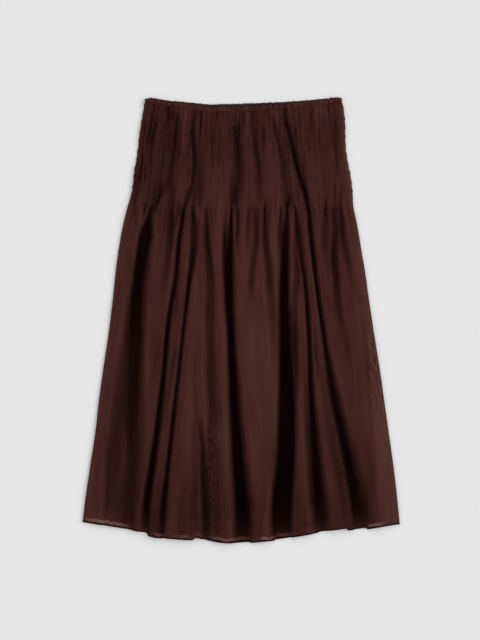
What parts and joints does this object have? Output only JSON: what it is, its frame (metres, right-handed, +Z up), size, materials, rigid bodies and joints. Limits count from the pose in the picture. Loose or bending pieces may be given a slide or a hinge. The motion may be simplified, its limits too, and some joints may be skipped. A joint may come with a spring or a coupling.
{
  "type": "midi skirt",
  "caption": "Midi skirt laid flat, front up: narrow elastic casing, pintucked yoke, and soft released folds down to a narrow rolled hem.",
  "frame": {"origin": "on the surface under the middle of the skirt, at the bottom centre of its box", "axes": "+Y towards the waist, +X to the right as seen from above, +Z up away from the surface; the front of the skirt faces +Z"},
  "size_m": [0.5673, 0.8022, 0.0128],
  "materials": {
    "front_voile": "sheer dark brown voile, soft lustre",
    "back_voile": "sheer dark brown voile, soft lustre",
    "hem_voile": "the same voile rolled double and stitched",
    "casing_voile": "the same voile gathered on elastic",
    "casing_inside_voile": "wrong side of the casing, matt and greyer"
  },
  "bodies": {
    "root": {"front_panel": "front_voile", "back_panel": "back_voile", "front_hem": "hem_voile", "back_hem": "hem_voile", "front_casing": "casing_voile", "back_casing": "casing_inside_voile"}
  },
  "joints": []
}
